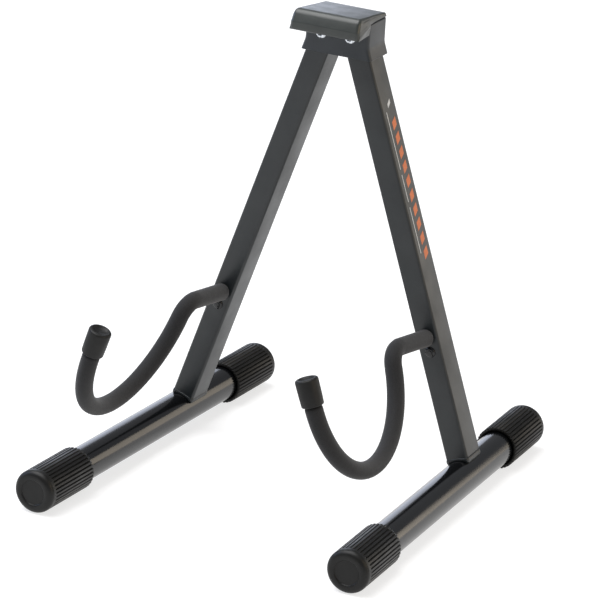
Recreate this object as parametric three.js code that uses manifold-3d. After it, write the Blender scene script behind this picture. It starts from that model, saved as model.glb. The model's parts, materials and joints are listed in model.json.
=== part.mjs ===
// Folding A-frame floor stand for an electric guitar.
// Units are millimetres, +Z is up, and the guitar rests on the -Y side.
// The origin is on the floor, midway between the two foot tubes and midway along them.

import * as THREE from 'three';
import { mergeVertices } from 'three/addons/utils/BufferGeometryUtils.js';
import Module from 'manifold-3d';

const wasm = await Module();
wasm.setup();

// ---------------------------------------------------------------- driving dimensions

const gap = 0.3; // clearance kept between neighbouring solids

const tubeDiameter = 25.4; // round foot tube
const tubeWall = 1.5;
const footLength = 320; // foot tube with both rubber caps on it

const capWall = 2.8; // rubber between the tube and the rib tops
const capLength = 56.6;
const capEndThickness = 6;
const capSmoothEnd = 7; // stretch without ribs at the closed end
const capEdgeRadius = 4;
const capRecessDiameter = 19;
const capRecessDepth = 0.8;
const ribCount = 36;
const ribDepth = 0.9;
const ribTopShare = 0.6; // share of the rib pitch that is rib top

const legWidth = 17.3; // across X, before the leg leans
const legDepth = 23.2; // along Y
const legWall = 1.5;
const legCornerRadius = 2;
const legPlaneY = 49.3; // middle of the leg, behind the middle of its foot
const legLean = 18.65; // degrees from vertical, open
const legToe = 2; // degrees, each leg and foot turned outwards at the front
const legStandOff = 1.3; // square-cut lower end above the top of the foot tube
const legAbovePivot = 6;

const legClearanceAtPivot = 4.3; // between the two legs' inner sides, at the bolts' height
const pivotHeight = 327;
const boltDiameter = 6;
const boltHeadDiameter = 10.5;
const boltHeadHeight = 3.3;
const nutAcrossFlats = 10;
const nutHeight = 6;
const washerDiameter = 14;
const washerThickness = 0.5;
const bushWall = 1.3;

const bracketSheet = 1.5;
const bracketBendRadius = 3;
const bracketBottom = 311.8;
const bracketKink = 320.3; // the side plates flare out below this height
const bracketTopClearance = 0.8; // between the leg tops and the web over them
const bracketSideClearance = 1.3; // between the open legs and the side plates

const padWidth = 54.6; // at the lip
const padOverhang = 21; // in front of the bracket's front plate
const padBackThickness = 3.1; // rubber over the back edge of the bracket's web
const padTopSlope = 6.6; // degrees, rising towards the front
const padLipDrop = 6.6; // how far the overhang hangs below the web
const padLipHeight = 4.2;
const padSlopeRun = 6.4; // how far the sloping front leans back
const padBackRadius = 1.6;
const padFrontRadius = 4.4;
const padLipRadius = 2.2;
const padTaper = 3; // each end leans in by this much towards the top
const padPegDiameter = 5;
const padPegSpacing = 14;

const rodDiameter = 8;
const sleeveDiameter = 12.7;
const armRootHeight = 105.7; // along the leg, from the foot tube's axis
const armRise = 9.1; // degrees, forward stretch above square to the leg
const armReach = 45.9;
const armShoulderRadius = 12.6;
const armShoulderAngle = 88.5;
const armHookRadius = 63.4;
const armHookAngle = 169.2;
const armTipLength = 21; // straight stretch at the end of the hook, longer than the rubber tip
const tipDiameter = 16.4;
const tipLength = 19.5;
const tipTopThickness = 4;
const tipDish = 1;

// ---------------------------------------------------------------- worked-out dimensions

const tubeRadius = tubeDiameter / 2;
const capBore = tubeRadius + gap;
const capRadius = tubeRadius + gap + capWall;
const halfFoot = footLength / 2;

const lean = THREE.MathUtils.degToRad(legLean);
const toe = THREE.MathUtils.degToRad(legToe);
const pivotX = (legWidth + legClearanceAtPivot) / 2;
const footX = pivotX + (pivotHeight - capRadius) * Math.tan(lean);
const pivotAlongLeg = (pivotHeight - capRadius) / Math.cos(lean);
const legStart = tubeRadius + legStandOff;
const legEnd = pivotAlongLeg + legAbovePivot;
const legFrontY = legPlaneY - legDepth / 2;
const pivotY = legPlaneY * Math.cos(toe) - (footX - pivotX) * Math.sin(toe);

const boltRadius = boltDiameter / 2;
const boltHole = boltRadius + gap;
const bushRadius = boltHole + bushWall;
const legSideClearance = washerThickness + 2 * gap + (washerDiameter / 2) * Math.sin(toe);
const bracketInnerHalfDepth = legDepth / 2 + legSideClearance;
const bracketHalfDepth = bracketInnerHalfDepth + bracketSheet;
const bracketFrontY = pivotY - bracketHalfDepth;
const bracketBackY = pivotY + bracketHalfDepth;
const legTopReach = legAbovePivot * Math.cos(lean) + (legWidth / 2) * Math.sin(lean);
const webUnderside = pivotHeight + legTopReach + bracketTopClearance;
const bracketTop = webUnderside + bracketSheet;

const BLACK_STEEL = { color: 0x2b3036, roughness: 0.35, metalness: 0.6 };
const BRACKET_STEEL = { color: 0x3a424a, roughness: 0.5, metalness: 0.5 };
const GLOSS_STEEL = { color: 0x16181b, roughness: 0.15, metalness: 0.6 };
const BARE_STEEL = { color: 0x9a9ea2, roughness: 0.4, metalness: 0.9 };
const BRIGHT_STEEL = { color: 0xc8ccd0, roughness: 0.2, metalness: 1 };
const WASHER_NYLON = { color: 0xd8d6cc, roughness: 0.6, metalness: 0 };
const CAP_RUBBER = { color: 0x3c3c37, roughness: 0.7, metalness: 0 };
const PAD_RUBBER = { color: 0x464a48, roughness: 0.6, metalness: 0 };
const SLEEVE_FOAM = { color: 0x2d2d2f, roughness: 0.95, metalness: 0 };

const CIRCLE_SIDES = 28;

// ---------------------------------------------------------------- solids and booleans

function toSolid(geometry) {
  const bare = geometry.clone();
  bare.deleteAttribute('normal');
  bare.deleteAttribute('uv');
  const merged = mergeVertices(bare, 1e-4);
  const vertProperties = new Float32Array(merged.attributes.position.array);
  const triVerts = new Uint32Array(merged.index.array);
  return new wasm.Manifold(new wasm.Mesh({ numProp: 3, vertProperties, triVerts }));
}

function toGeometry(solid) {
  const { vertProperties, triVerts } = solid.getMesh();
  const geometry = new THREE.BufferGeometry();
  geometry.setAttribute('position', new THREE.BufferAttribute(vertProperties, 3));
  geometry.setIndex(new THREE.BufferAttribute(triVerts, 1));
  geometry.computeVertexNormals();
  return geometry;
}

function cut(body, ...tools) {
  const solid = tools.reduce((left, tool) => left.subtract(toSolid(tool)), toSolid(body));
  return toGeometry(solid);
}

function join(...bodies) {
  const solids = bodies.map(toSolid);
  return toGeometry(solids.reduce((left, right) => left.add(right)));
}

function roundedRectangle(width, depth, radius) {
  const x = width / 2;
  const y = depth / 2;
  const shape = new THREE.Shape();
  shape.absarc(x - radius, y - radius, radius, 0, Math.PI / 2);
  shape.absarc(-x + radius, y - radius, radius, Math.PI / 2, Math.PI);
  shape.absarc(-x + radius, -y + radius, radius, Math.PI, Math.PI * 1.5);
  shape.absarc(x - radius, -y + radius, radius, Math.PI * 1.5, Math.PI * 2);
  shape.closePath();
  return shape;
}

function extrudeUp(shape, bottom, top, curveSegments = 4) {
  const settings = { depth: top - bottom, bevelEnabled: false, curveSegments };
  return new THREE.ExtrudeGeometry(shape, settings).translate(0, 0, bottom);
}

// A solid or hollow cylinder lying along Y, between two places on Y.
function cylinderAlongY(radius, from, to, x = 0, z = 0, sides = CIRCLE_SIDES) {
  const geometry = new THREE.CylinderGeometry(radius, radius, to - from, sides);
  return geometry.translate(x, (from + to) / 2, z);
}

function ringAlongY(outer, inner, from, to) {
  const profile = [
    new THREE.Vector2(inner, from),
    new THREE.Vector2(outer, from),
    new THREE.Vector2(outer, to),
    new THREE.Vector2(inner, to),
    new THREE.Vector2(inner, from),
  ];
  return new THREE.LatheGeometry(profile, CIRCLE_SIDES);
}

function named(name, geometry, finish) {
  const mesh = new THREE.Mesh(geometry, new THREE.MeshStandardMaterial(finish));
  mesh.name = name;
  return mesh;
}

// ---------------------------------------------------------------- foot tube and its rubber caps

function footTube() {
  const end = halfFoot - capEndThickness - gap;
  return ringAlongY(tubeRadius, tubeRadius - tubeWall, -end, end);
}

// Flat-topped ribs round the cap, with one rib top facing straight down onto the floor.
function ribOutline() {
  const pitch = (2 * Math.PI) / ribCount;
  const halfTop = (pitch * ribTopShare) / 2;
  const topRadius = capRadius / Math.cos(halfTop);
  const points = [];
  const addPoint = (radius, angle) => {
    points.push(new THREE.Vector2(radius * Math.cos(angle), radius * Math.sin(angle)));
  };
  for (let rib = 0; rib < ribCount; rib += 1) {
    const middle = -Math.PI / 2 + rib * pitch;
    addPoint(topRadius, middle - halfTop);
    addPoint(topRadius, middle + halfTop);
    addPoint(capRadius - ribDepth, middle + pitch / 2);
  }
  return new THREE.Shape(points);
}

// The closed end faces -Y and stands at the front end of the foot.
function footCap() {
  const end = -halfFoot;
  const mouth = end + capLength;
  const ribs = new THREE.ExtrudeGeometry(ribOutline(), {
    depth: capLength - capSmoothEnd + gap,
    bevelEnabled: false,
  });
  ribs.rotateX(Math.PI / 2).translate(0, mouth, 0);

  const smoothRadius = capRadius - gap;
  const corner = new THREE.Path();
  corner.moveTo(0, end);
  corner.lineTo(smoothRadius - capEdgeRadius, end);
  corner.absarc(smoothRadius - capEdgeRadius, end + capEdgeRadius, capEdgeRadius, -Math.PI / 2, 0);
  corner.lineTo(smoothRadius, end + capSmoothEnd);
  corner.lineTo(0, end + capSmoothEnd);
  const smooth = new THREE.LatheGeometry(corner.getPoints(2), ribCount);

  const bore = cylinderAlongY(capBore, end + capEndThickness, mouth + 1);
  const recess = cylinderAlongY(capRecessDiameter / 2, end - 1, end + capRecessDepth);
  return cut(join(ribs, smooth), bore, recess);
}

// ---------------------------------------------------------------- leg and its weld, in leg space
// Leg space has its origin on the foot tube's axis and +Z up along the leaning leg.

function legTube() {
  const outline = roundedRectangle(legWidth, legDepth, legCornerRadius);
  const inside = roundedRectangle(
    legWidth - 2 * legWall,
    legDepth - 2 * legWall,
    Math.max(legCornerRadius - legWall, 0.4),
  );
  outline.holes.push(inside);
  const wall = extrudeUp(outline, legStart, legEnd, 3).translate(0, legPlaneY, 0);
  const pivotHole = cylinderAlongY(
    bushRadius + gap,
    legFrontY - 1,
    legFrontY + legDepth + 1,
    0,
    pivotAlongLeg,
  );
  const armHole = cylinderAlongY(rodDiameter / 2 + gap, legFrontY - 1, legPlaneY, 0, 0, 16);
  armHole.translate(0, -legFrontY, 0);
  armHole.rotateX(-THREE.MathUtils.degToRad(armRise));
  armHole.translate(0, legFrontY, armRootHeight);
  return cut(wall, pivotHole, armHole);
}

// Weld metal that fills the space between the square-cut leg and the round foot tube.
function legWeld() {
  const halfWidth = legWidth / 2 - 0.8;
  const saddle = tubeRadius + gap;
  const reach = Math.asin(halfWidth / saddle);
  const section = new THREE.Shape();
  section.moveTo(halfWidth, legStart - gap);
  section.lineTo(-halfWidth, legStart - gap);
  section.absarc(0, 0, saddle, Math.PI / 2 + reach, Math.PI / 2 - reach, true);
  section.closePath();
  const depth = legDepth - 1.6;
  const settings = { depth, bevelEnabled: false, curveSegments: 8 };
  const geometry = new THREE.ExtrudeGeometry(section, settings);
  return geometry.rotateX(Math.PI / 2).translate(0, legPlaneY + depth / 2, 0);
}

// ---------------------------------------------------------------- cradle arm, in leg space

// Centre line of the bent arm: forward, down over the shoulder, round the hook and up to the tip.
// Each stretch gets only the steps that its shape needs.
class ArmCurve extends THREE.Curve {
  constructor(startOffset, endOffset) {
    super();
    this.points = armPoints(startOffset, endOffset);
  }

  getPoint(t) {
    const last = this.points.length - 1;
    const place = Math.min(Math.max(t, 0), 1) * last;
    const index = Math.min(Math.floor(place), last - 1);
    return this.points[index].clone().lerp(this.points[index + 1], place - index);
  }

  // The mean of the directions into and out of the nearest point.
  getTangent(t) {
    const last = this.points.length - 1;
    const index = Math.round(t * last);
    const into = this.direction(Math.max(index - 1, 0));
    const outOf = this.direction(Math.min(index, last - 1));
    return into.add(outOf).normalize();
  }

  direction(index) {
    return this.points[index + 1].clone().sub(this.points[index]).normalize();
  }

  getUtoTmapping(u) {
    return u;
  }
}

// startOffset is how far from the leg's front face the line starts (negative is inside the leg),
// and endOffset is how much of the tip's straight stretch is left off.
function armPoints(startOffset, endOffset) {
  const heading = { y: legFrontY, z: armRootHeight, angle: Math.PI - THREE.MathUtils.degToRad(armRise) };
  const points = [];
  const push = () => points.push(new THREE.Vector3(0, heading.y, heading.z));
  const forward = (length) => {
    heading.y += length * Math.cos(heading.angle);
    heading.z += length * Math.sin(heading.angle);
    push();
  };
  const bend = (radius, degrees, steps) => {
    const turn = Math.sign(degrees);
    const centreY = heading.y - turn * radius * Math.sin(heading.angle);
    const centreZ = heading.z + turn * radius * Math.cos(heading.angle);
    for (let step = 0; step < steps; step += 1) {
      heading.angle += THREE.MathUtils.degToRad(degrees) / steps;
      heading.y = centreY + turn * radius * Math.sin(heading.angle);
      heading.z = centreZ - turn * radius * Math.cos(heading.angle);
      push();
    }
  };
  forward(startOffset);
  forward(armReach - startOffset);
  bend(armShoulderRadius, armShoulderAngle, 6);
  bend(armHookRadius, -armHookAngle, 16);
  forward(armTipLength - endOffset);
  return points;
}

function sweep(section, startOffset, endOffset) {
  const extrudePath = new ArmCurve(startOffset, endOffset);
  const steps = extrudePath.points.length - 1;
  return new THREE.ExtrudeGeometry(section, { steps, extrudePath, curveSegments: 6 });
}

function disc(radius, holeRadius = 0) {
  const section = new THREE.Shape();
  section.absarc(0, 0, radius, 0, Math.PI * 2);
  if (holeRadius > 0) {
    const hole = new THREE.Path();
    hole.absarc(0, 0, holeRadius, 0, Math.PI * 2);
    section.holes.push(hole);
  }
  return section;
}

function armRod() {
  const insideLeg = legDepth - legWall - 2 * gap;
  return sweep(disc(rodDiameter / 2), -insideLeg, tipTopThickness + gap);
}

function armSleeve() {
  return sweep(disc(sleeveDiameter / 2, rodDiameter / 2 + gap), 2 * gap + 1, tipLength + gap);
}

// Rounded tack of weld under the arm, on the leg's front face.
function armWeld() {
  const radius = rodDiameter / 2;
  const dome = new THREE.Path();
  dome.moveTo(0, 0);
  dome.lineTo(radius, 0);
  dome.absellipse(0, 0, radius, 1.4, 0, Math.PI / 2);
  dome.lineTo(0, 0);
  const geometry = new THREE.LatheGeometry(dome.getPoints(2), 16);
  const below = sleeveDiameter / 2 + radius + 2 * gap;
  return geometry.rotateX(Math.PI).translate(0, legFrontY - gap, armRootHeight - below);
}

// Rubber tip pushed over the end of the rod, fatter than the sleeve, with a dished top.
function armTip() {
  const outer = tipDiameter / 2;
  const edge = 2;
  const profile = new THREE.Path();
  profile.moveTo(0, 0);
  profile.lineTo(outer - edge / 2, 0);
  profile.absarc(outer - edge / 2, edge / 2, edge / 2, -Math.PI / 2, 0);
  profile.lineTo(outer, tipLength - edge);
  profile.absarc(outer - edge, tipLength - edge, edge, 0, Math.PI / 2);
  profile.lineTo(outer - edge - 1.5, tipLength - tipDish);
  profile.lineTo(0, tipLength - tipDish);
  const body = new THREE.LatheGeometry(profile.getPoints(2), 20);
  const depth = tipLength - tipTopThickness;
  const bore = cylinderAlongY(rodDiameter / 2 + gap, -1, depth, 0, 0, 16);
  const points = armPoints(0, 0);
  const top = points[points.length - 1];
  const direction = top.clone().sub(points[points.length - 2]).normalize();
  const base = top.clone().addScaledVector(direction, -tipLength);
  const turn = new THREE.Quaternion().setFromUnitVectors(new THREE.Vector3(0, 1, 0), direction);
  return cut(body, bore).applyQuaternion(turn).translate(base.x, base.y, base.z);
}

// ---------------------------------------------------------------- head bracket, pad and pivots

// Inner face of the side plate, just outside the open leg.
function stopX(height) {
  const sideways = (pivotHeight - height) * Math.tan(lean);
  return pivotX + sideways + (legWidth / 2 + bracketSideClearance) / Math.cos(lean);
}

const bracketInnerHalfWidth = stopX(bracketKink);
const bracketHalfWidth = bracketInnerHalfWidth + bracketSheet;

// A box with upright rounded corners whose two ends flare outwards below the kink.
function flaredBox(halfWidth, halfDepth, radius, bottom, top) {
  const outline = roundedRectangle(2 * halfWidth, 2 * halfDepth, radius);
  const settings = { depth: 2, steps: 2, bevelEnabled: false, curveSegments: 5 };
  const geometry = new THREE.ExtrudeGeometry(outline, settings);
  const heights = [bottom, bracketKink, top];
  const position = geometry.attributes.position;
  for (let index = 0; index < position.count; index += 1) {
    const height = heights[Math.round(position.getZ(index))];
    const flare = Math.max(stopX(height) - bracketInnerHalfWidth, 0);
    const x = position.getX(index);
    position.setXYZ(index, x + Math.sign(x) * flare, position.getY(index) + pivotY, height);
  }
  return geometry;
}

function headBracket() {
  const outside = flaredBox(
    bracketHalfWidth,
    bracketHalfDepth,
    bracketBendRadius,
    bracketBottom,
    bracketTop,
  );
  const inside = flaredBox(
    bracketInnerHalfWidth,
    bracketInnerHalfDepth,
    bracketBendRadius - bracketSheet,
    bracketBottom - 1,
    webUnderside,
  );
  const boltHoles = [-1, 1].map((side) =>
    cylinderAlongPivot(side, boltHole, -bracketHalfDepth - 1, bracketHalfDepth + 1),
  );
  const pegHoles = padPegs(padPegDiameter / 2 + gap, webUnderside - 1, bracketTop + 1);
  return cut(outside, inside, ...boltHoles, ...pegHoles);
}

// A cylinder along one pivot's own axis, between two places measured from the middle of its leg.
function cylinderAlongPivot(side, radius, from, to) {
  const geometry = cylinderAlongY(radius, from, to, 0, 0, 24);
  return geometry.rotateZ(side * toe).translate(side * pivotX, pivotY, pivotHeight);
}

function padPegs(radius, bottom, top) {
  return [-padPegSpacing / 2, padPegSpacing / 2].map((offset) => {
    const peg = new THREE.CylinderGeometry(radius, radius, top - bottom, 16);
    return peg.rotateX(Math.PI / 2).translate(0, pivotY + offset, (top + bottom) / 2);
  });
}

// Points of a closed outline with each corner [x, y, radius] rounded to its own radius.
function roundedCorners(corners, steps = 4) {
  const points = [];
  corners.forEach(([x, y, radius], index) => {
    const corner = new THREE.Vector2(x, y);
    if (radius === 0) {
      points.push(corner);
      return;
    }
    const towards = (other) => new THREE.Vector2(other[0], other[1]).sub(corner).normalize();
    const into = towards(corners.at(index - 1));
    const outOf = towards(corners[(index + 1) % corners.length]);
    const half = Math.acos(into.dot(outOf)) / 2;
    const middle = into.clone().add(outOf).normalize();
    const centre = corner.clone().addScaledVector(middle, radius / Math.sin(half));
    const first = corner.clone().addScaledVector(into, radius / Math.tan(half)).sub(centre);
    const last = corner.clone().addScaledVector(outOf, radius / Math.tan(half)).sub(centre);
    const sweepAngle = Math.PI - 2 * half;
    for (let step = 0; step <= steps; step += 1) {
      const share = step / steps;
      const point = first.clone().multiplyScalar(Math.sin((1 - share) * sweepAngle));
      point.addScaledVector(last, Math.sin(share * sweepAngle)).divideScalar(Math.sin(sweepAngle));
      points.push(point.add(centre));
    }
  });
  return points;
}

const padSeat = bracketTop + gap;
const padLipBottom = bracketTop - padLipDrop;
const padFrontY = bracketFrontY - padOverhang;
const padBackTop = bracketTop + padBackThickness;
const padFrontTop =
  padBackTop +
  (bracketBackY - padFrontY - padSlopeRun) * Math.tan(THREE.MathUtils.degToRad(padTopSlope));

// Rubber block over the bracket: the top rises to the front, which slopes down to an upright lip.
function padOutline() {
  const stepY = bracketFrontY - gap;
  return new THREE.Shape(
    roundedCorners([
      [bracketBackY, padSeat, 0],
      [bracketBackY, padBackTop, padBackRadius],
      [padFrontY + padSlopeRun, padFrontTop, padFrontRadius],
      [padFrontY, padLipBottom + padLipHeight, 0],
      [padFrontY, padLipBottom, padLipRadius],
      [stepY, padLipBottom, 0],
      [stepY, padSeat, 0],
    ]),
  );
}

function headPad() {
  const settings = { depth: padWidth, bevelEnabled: false };
  const block = new THREE.ExtrudeGeometry(padOutline(), settings).translate(0, 0, -padWidth / 2);
  block.applyMatrix4(
    new THREE.Matrix4().makeBasis(
      new THREE.Vector3(0, 1, 0),
      new THREE.Vector3(0, 0, 1),
      new THREE.Vector3(1, 0, 0),
    ),
  );
  const height = padFrontTop - padLipBottom;
  const position = block.attributes.position;
  for (let index = 0; index < position.count; index += 1) {
    const share = (position.getZ(index) - padLipBottom) / height;
    position.setX(index, position.getX(index) * (1 - (share * padTaper) / (padWidth / 2)));
  }
  const pocketEnd = -bracketHalfDepth - boltHeadHeight - 3 * gap;
  const pockets = [-1, 1].map((side) =>
    cylinderAlongPivot(side, boltHeadDiameter / 2 + 2 * gap, pocketEnd, -bracketHalfDepth),
  );
  const pegs = padPegs(padPegDiameter / 2, webUnderside, bracketTop + 1);
  return cut(join(block, ...pegs), ...pockets);
}

// The pivot pieces are drawn round the Y axis, about the middle of the leg's depth, and are placed
// and turned with their own pivot.

function pivotBolt() {
  const seat = -bracketHalfDepth - gap;
  const shankEnd = bracketHalfDepth + gap + nutHeight + 1.5;
  const profile = new THREE.Path();
  profile.moveTo(0, seat - boltHeadHeight);
  profile.absellipse(0, seat, boltHeadDiameter / 2, boltHeadHeight, -Math.PI / 2, 0);
  profile.lineTo(boltRadius, seat);
  profile.lineTo(boltRadius, shankEnd);
  profile.lineTo(0, shankEnd);
  return new THREE.LatheGeometry(profile.getPoints(3), 20);
}

function pivotNut() {
  const corner = nutAcrossFlats / Math.sqrt(3);
  const start = bracketHalfDepth + gap;
  const body = cylinderAlongY(corner, start, start + nutHeight, 0, 0, 6);
  return cut(body, cylinderAlongY(boltHole, start - 1, start + nutHeight + 1, 0, 0, 24));
}

function pivotWasher(side) {
  const near = legDepth / 2 + gap;
  const middle = side * (near + washerThickness / 2);
  return ringAlongY(
    washerDiameter / 2,
    boltHole,
    middle - washerThickness / 2,
    middle + washerThickness / 2,
  );
}

function pivotBush() {
  return ringAlongY(bushRadius, boltHole, -legDepth / 2, legDepth / 2);
}

// ---------------------------------------------------------------- assembly

// One leg with its foot and cradle arm; side is +1 on the right and -1 on the left.
function legAssembly(name, side) {
  const foot = new THREE.Group();
  foot.position.set(side * (footX - pivotX), -legPlaneY, capRadius);
  const rearCap = named(`${name}_rear_cap`, footCap(), CAP_RUBBER);
  rearCap.rotation.z = Math.PI;
  foot.add(
    named(`${name}_foot_tube`, footTube(), GLOSS_STEEL),
    named(`${name}_front_cap`, footCap(), CAP_RUBBER),
    rearCap,
  );

  const leaning = new THREE.Group();
  leaning.rotation.y = -side * lean;
  leaning.add(
    named(`${name}_leg_tube`, legTube(), BLACK_STEEL),
    named(`${name}_leg_weld`, legWeld(), BLACK_STEEL),
    named(`${name}_arm_rod`, armRod(), BARE_STEEL),
    named(`${name}_arm_weld`, armWeld(), BLACK_STEEL),
    named(`${name}_arm_sleeve`, armSleeve(), SLEEVE_FOAM),
    named(`${name}_arm_tip`, armTip(), CAP_RUBBER),
  );
  foot.add(leaning);

  const toed = new THREE.Group();
  toed.position.set(side * pivotX, pivotY, 0);
  toed.rotation.z = side * toe;
  toed.add(foot);
  return toed;
}

function pivotAssembly(name, side) {
  const pivot = new THREE.Group();
  pivot.position.set(side * pivotX, pivotY, pivotHeight);
  pivot.rotation.z = side * toe;
  pivot.add(
    named(`${name}_pivot_bolt`, pivotBolt(), BRIGHT_STEEL),
    named(`${name}_pivot_nut`, pivotNut(), BRIGHT_STEEL),
    named(`${name}_front_washer`, pivotWasher(-1), WASHER_NYLON),
    named(`${name}_rear_washer`, pivotWasher(1), WASHER_NYLON),
    named(`${name}_pivot_bush`, pivotBush(), BARE_STEEL),
  );
  return pivot;
}

const stand = new THREE.Group();
stand.add(
  named('head_bracket', headBracket(), BRACKET_STEEL),
  named('head_pad', headPad(), PAD_RUBBER),
  pivotAssembly('left', -1),
  pivotAssembly('right', 1),
  legAssembly('left', -1),
  legAssembly('right', 1),
);

export default stand;
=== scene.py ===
"""Folding A-frame guitar stand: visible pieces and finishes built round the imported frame."""

import json
import logging
import math
from dataclasses import dataclass, field
from enum import Enum
from typing import Callable, Iterable, Mapping, Sequence, Union

import bmesh
import bpy
from mathutils import Matrix, Vector

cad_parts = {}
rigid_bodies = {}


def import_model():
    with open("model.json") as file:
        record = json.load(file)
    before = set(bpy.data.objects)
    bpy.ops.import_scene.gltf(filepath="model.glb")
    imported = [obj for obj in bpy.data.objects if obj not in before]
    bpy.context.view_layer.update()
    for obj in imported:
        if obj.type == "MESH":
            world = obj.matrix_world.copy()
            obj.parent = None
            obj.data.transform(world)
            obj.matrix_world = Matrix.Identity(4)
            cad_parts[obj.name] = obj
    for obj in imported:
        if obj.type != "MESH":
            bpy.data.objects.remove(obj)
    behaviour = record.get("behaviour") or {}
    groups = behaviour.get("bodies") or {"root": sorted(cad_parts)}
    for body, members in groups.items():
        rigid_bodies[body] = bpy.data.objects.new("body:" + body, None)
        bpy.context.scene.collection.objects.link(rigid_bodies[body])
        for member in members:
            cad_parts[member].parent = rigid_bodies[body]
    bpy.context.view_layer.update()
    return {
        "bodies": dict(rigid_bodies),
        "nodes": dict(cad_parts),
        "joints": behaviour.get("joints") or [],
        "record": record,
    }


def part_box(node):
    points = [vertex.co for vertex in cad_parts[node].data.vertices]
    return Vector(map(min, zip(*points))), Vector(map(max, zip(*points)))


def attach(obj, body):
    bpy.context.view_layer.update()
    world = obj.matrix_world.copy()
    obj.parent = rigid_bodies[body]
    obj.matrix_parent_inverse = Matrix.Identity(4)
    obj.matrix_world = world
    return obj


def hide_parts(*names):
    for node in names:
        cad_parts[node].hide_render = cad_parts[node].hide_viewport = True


LOG = logging.getLogger("guitar_stand")
MM = 0.001
FULL_TURN = 2 * math.pi
SMOOTH_ANGLE = 35.0  # edges sharper than this, in degrees, stay crisp on most pieces
AXIS_RADIUS = 1e-6  # a ring on the axis keeps this radius, in metres
MERGE_DISTANCE = 1e-7
SHORTEST_EDGE = 1e-8
OUTLINE_GAP = 1e-5  # outline points nearer than this, in metres, are one point

# Socket numbers of a colour Mix node, whose sockets share their names with others.
FIRST_SHADE, SECOND_SHADE, MIXED_SHADE = 6, 7, 2

Point = Sequence[float]
Loop = list[Vector]
Outline = list[tuple[float, float]]
Row = tuple[Vector, Vector, float]
SocketValue = Union[float, Sequence[float], bpy.types.NodeSocket]


class Side(Enum):
    """Which of the two mirrored halves of the stand a piece belongs to."""

    LEFT = -1
    RIGHT = 1

    @property
    def word(self) -> str:
        """The side's name as the frame spells it."""
        return self.name.lower()

    @property
    def body(self) -> str:
        """The moving body that this side's leg pieces ride on."""
        return f"{self.word}_leg"


# ------------------------------------------------------------------ finishes


def linear_colour(hex_code: str) -> tuple[float, float, float, float]:
    """Turns an sRGB hex colour into linear values.

    Args:
        hex_code: Six hex digits after a hash sign.

    Returns:
        Linear red, green, blue and an alpha of one.
    """
    channels = [int(hex_code[start : start + 2], 16) / 255 for start in (1, 3, 5)]
    linear = [c / 12.92 if c <= 0.04045 else ((c + 0.055) / 1.055) ** 2.4 for c in channels]
    return linear[0], linear[1], linear[2], 1.0


def add_node(
    tree: bpy.types.NodeTree,
    kind: str,
    inputs: Mapping[Union[str, int], SocketValue],
    **settings: object,
) -> bpy.types.Node:
    """Adds one shader node with its settings, values and links.

    Args:
        tree: Node tree that gets the node.
        kind: Blender's type name of the node.
        inputs: Socket name or number to a value, or to the output socket to link from.
        **settings: Attributes of the node itself.

    Returns:
        The new node.
    """
    node = tree.nodes.new(kind)
    for name, value in settings.items():
        setattr(node, name, value)
    for socket, value in inputs.items():
        if isinstance(value, bpy.types.NodeSocket):
            tree.links.new(value, node.inputs[socket])
        else:
            node.inputs[socket].default_value = value
    return node


@dataclass(frozen=True)
class Surface:
    """One material's nodes while its finish adds a pattern."""

    tree: bpy.types.NodeTree
    shader: bpy.types.Node
    place: bpy.types.NodeSocket

    def feed(self, socket: str, value: bpy.types.NodeSocket) -> None:
        """Links a value to one of the shader's sockets."""
        self.tree.links.new(value, self.shader.inputs[socket])

    def drift(self, size_mm: float, low: float, high: float) -> bpy.types.NodeSocket:
        """A soft cloudy value that drifts between two limits.

        Args:
            size_mm: Rough width of one cloud.
            low: Lowest value.
            high: Highest value.

        Returns:
            The value's output socket.
        """
        scale = 1 / (size_mm * MM)
        inputs = {"Vector": self.place, "Scale": scale, "Detail": 3.0, "Roughness": 0.55}
        cloud = add_node(self.tree, "ShaderNodeTexNoise", inputs).outputs["Fac"]
        limits = {"From Min": 0.3, "From Max": 0.7, "To Min": low, "To Max": high}
        spread = add_node(self.tree, "ShaderNodeMapRange", {"Value": cloud, **limits})
        return spread.outputs["Result"]

    def drift_gloss(self, size_mm: float, roughness: float, low: float, high: float) -> None:
        """Lets the roughness drift in clouds between two multiples of its plain value."""
        self.feed("Roughness", self.drift(size_mm, roughness * low, roughness * high))

    def drift_shade(self, size_mm: float, share: float, first: str, second: str) -> None:
        """Lets the colour drift in clouds from one shade towards another.

        Args:
            size_mm: Rough width of one cloud.
            share: How much of the second shade the clouds reach.
            first: The main shade, as sRGB hex.
            second: The other shade, as sRGB hex.
        """
        shades = {FIRST_SHADE: linear_colour(first), SECOND_SHADE: linear_colour(second)}
        inputs = {"Factor": self.drift(size_mm, 0.0, share), **shades}
        mix = add_node(self.tree, "ShaderNodeMix", inputs, data_type="RGBA")
        self.feed("Base Color", mix.outputs[MIXED_SHADE])

    def raise_grain(
        self,
        size_mm: float,
        height_mm: float,
        strength: float,
        detail: float,
        roughness: float = 0.5,
    ) -> None:
        """Raises a noisy grain in the relief.

        Args:
            size_mm: Rough distance between two crests.
            height_mm: Height of the crests.
            strength: How much of the height the light sees.
            detail: How many finer layers the noise has.
            roughness: How strong the finer layers are.
        """
        scale = 1 / (size_mm * MM)
        inputs = {"Vector": self.place, "Scale": scale, "Detail": detail, "Roughness": roughness}
        grain = add_node(self.tree, "ShaderNodeTexNoise", inputs).outputs["Fac"]
        relief = {"Height": grain, "Distance": height_mm * MM, "Strength": strength}
        self.feed("Normal", add_node(self.tree, "ShaderNodeBump", relief).outputs["Normal"])


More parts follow.
